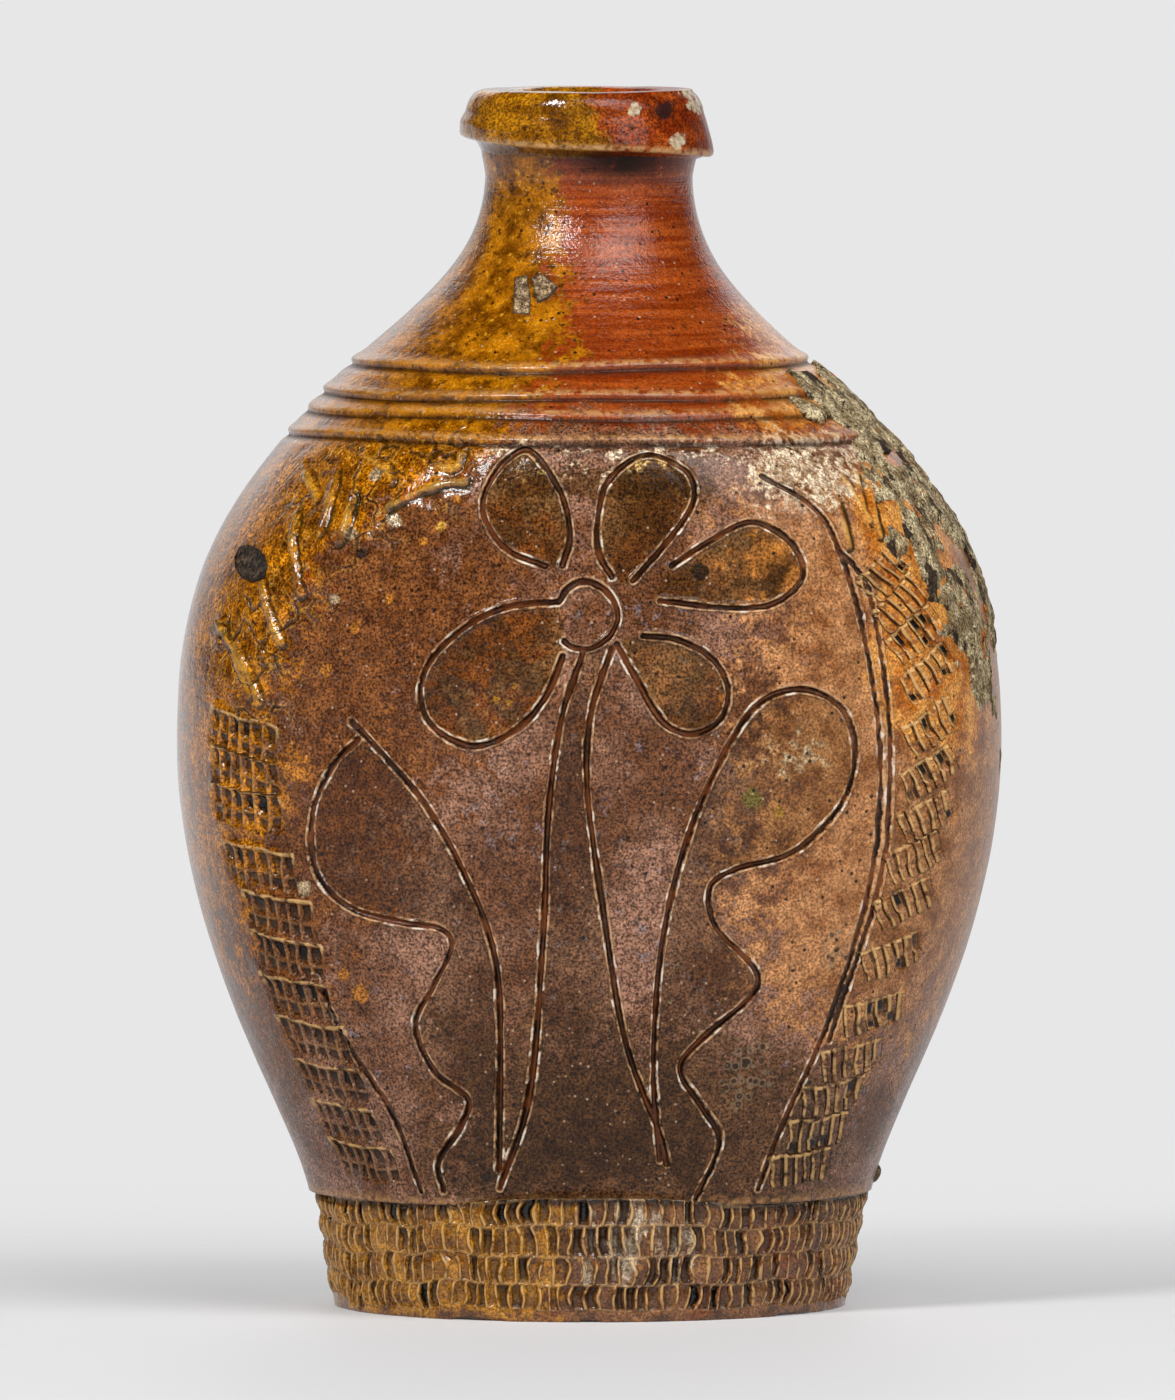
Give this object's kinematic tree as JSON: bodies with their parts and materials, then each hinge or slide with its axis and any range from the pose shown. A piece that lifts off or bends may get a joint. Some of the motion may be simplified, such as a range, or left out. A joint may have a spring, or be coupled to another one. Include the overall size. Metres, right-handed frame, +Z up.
{
  "type": "stoneware flask",
  "caption": "Thrown stoneware flask with flattened front and back, ringed shoulder, rolled lip collar, coggled foot strap and a cork that lifts out of the neck.",
  "frame": {"origin": "middle of the standing face", "axes": "+Z up to the mouth, +Y to the back, so the decorated face looks to -Y, and +X to the right of someone who looks at that face"},
  "size_m": [0.129, 0.102, 0.19],
  "materials": {
    "body_glaze": "gloss",
    "collar_glaze": "gloss",
    "strap_glaze": "satin",
    "cork": "matte",
    "kiln_slag": "matte",
    "kiln_grit": "matte"
  },
  "bodies": {
    "flask": {"thrown_body": "body_glaze", "lip_collar": "collar_glaze", "foot_strap": "strap_glaze", "kiln_crust": "kiln_slag", "kiln_chips": "kiln_grit"},
    "cork": {"cork": "cork"}
  },
  "joints": [
    {"name": "cork_pull", "type": "slide", "parent": "flask", "child": "cork", "axis": [0, 0, 1], "range_m": [0, 0.03]}
  ]
}
